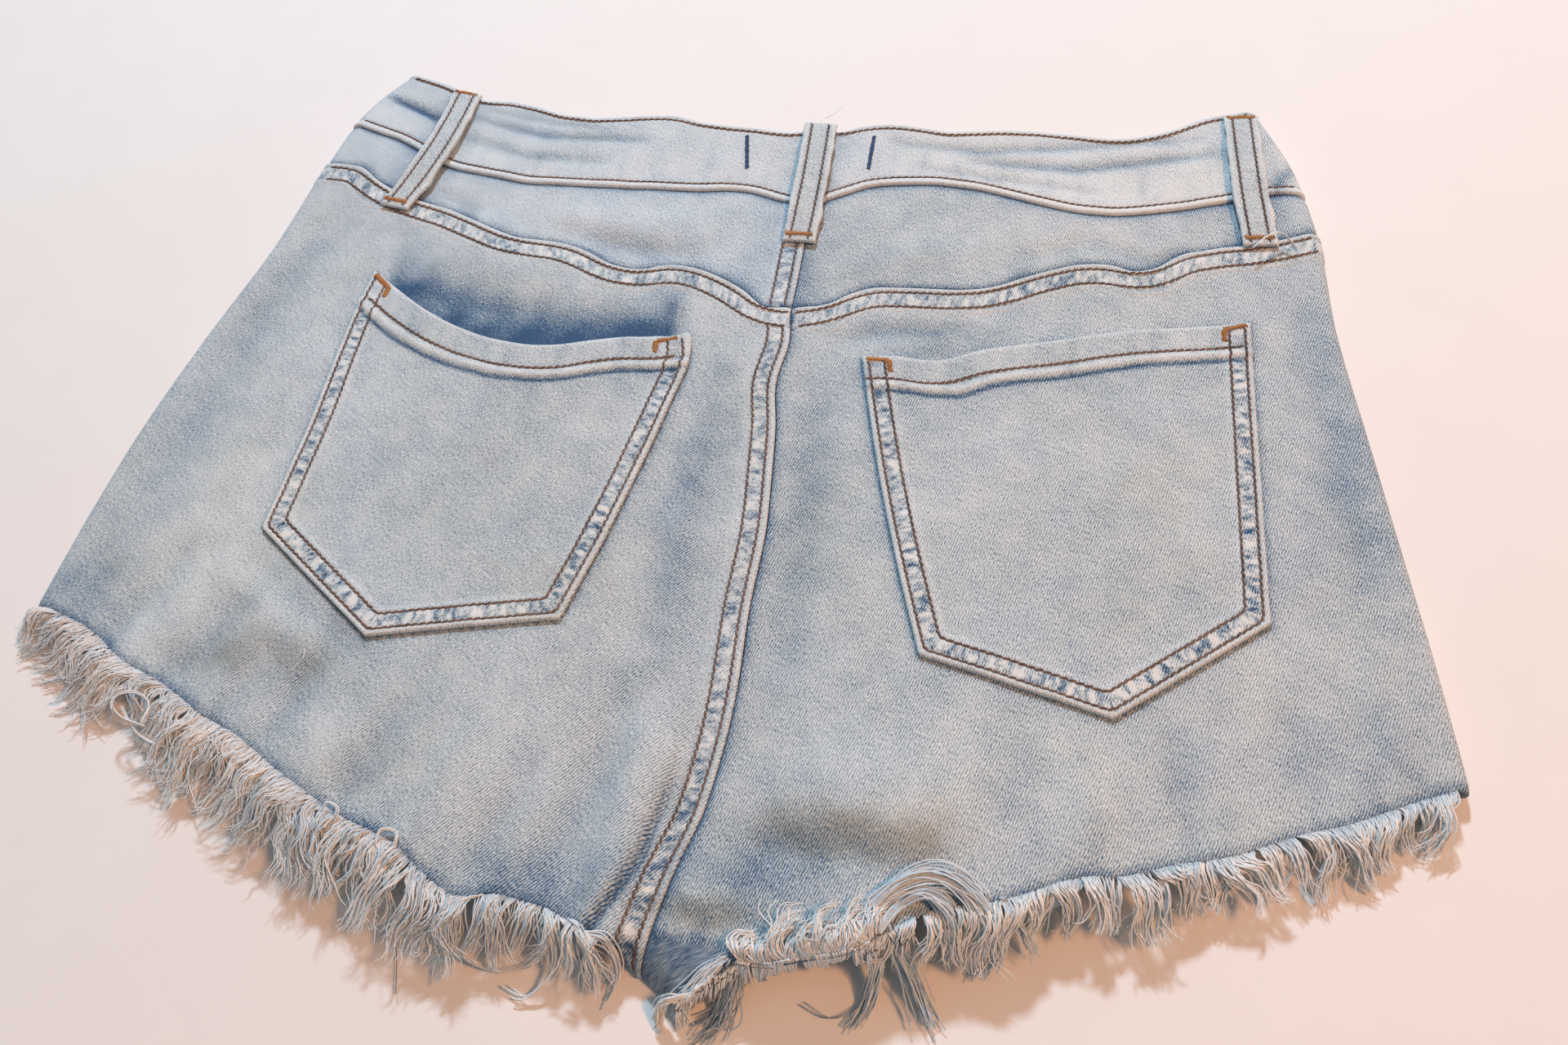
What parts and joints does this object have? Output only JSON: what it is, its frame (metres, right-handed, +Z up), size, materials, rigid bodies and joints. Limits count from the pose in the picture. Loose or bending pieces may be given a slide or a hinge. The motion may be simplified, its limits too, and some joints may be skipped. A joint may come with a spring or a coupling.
{
  "type": "denim shorts",
  "caption": "Light-wash cut-off denim shorts laid flat with the back upward, with back pockets, yoke, belt loops and a frayed fringe hem.",
  "frame": {"origin": "middle of the base of the whole garment as it lies, fringe included", "axes": "+X across the garment towards the wearer's right leg, +Y from the hems towards the waist, +Z up off the surface it lies on"},
  "size_m": [0.4804, 0.3745, 0.0216],
  "materials": {
    "denim": "light blue stonewashed twill, worn pale along seams and edges",
    "fringe": "loose frayed threads, off-white and pale blue",
    "button": "plain antique brass, unmarked"
  },
  "bodies": {
    "root": {"back_panel_left": "denim", "back_panel_right": "denim", "back_yoke_left": "denim", "back_yoke_right": "denim", "waistband_back": "denim", "waistband_front_left": "denim", "waistband_front_right": "denim", "front_panel_left": "denim", "front_panel_right": "denim", "back_pocket_left": "denim", "back_pocket_right": "denim", "belt_loop_back_left": "denim", "belt_loop_back_centre": "denim", "belt_loop_back_right": "denim", "belt_loop_front_left": "denim", "belt_loop_front_right": "denim", "waist_button": "button", "fringe_back_left": "fringe", "fringe_back_right": "fringe", "fringe_front_left": "fringe", "fringe_front_right": "fringe"}
  },
  "joints": []
}
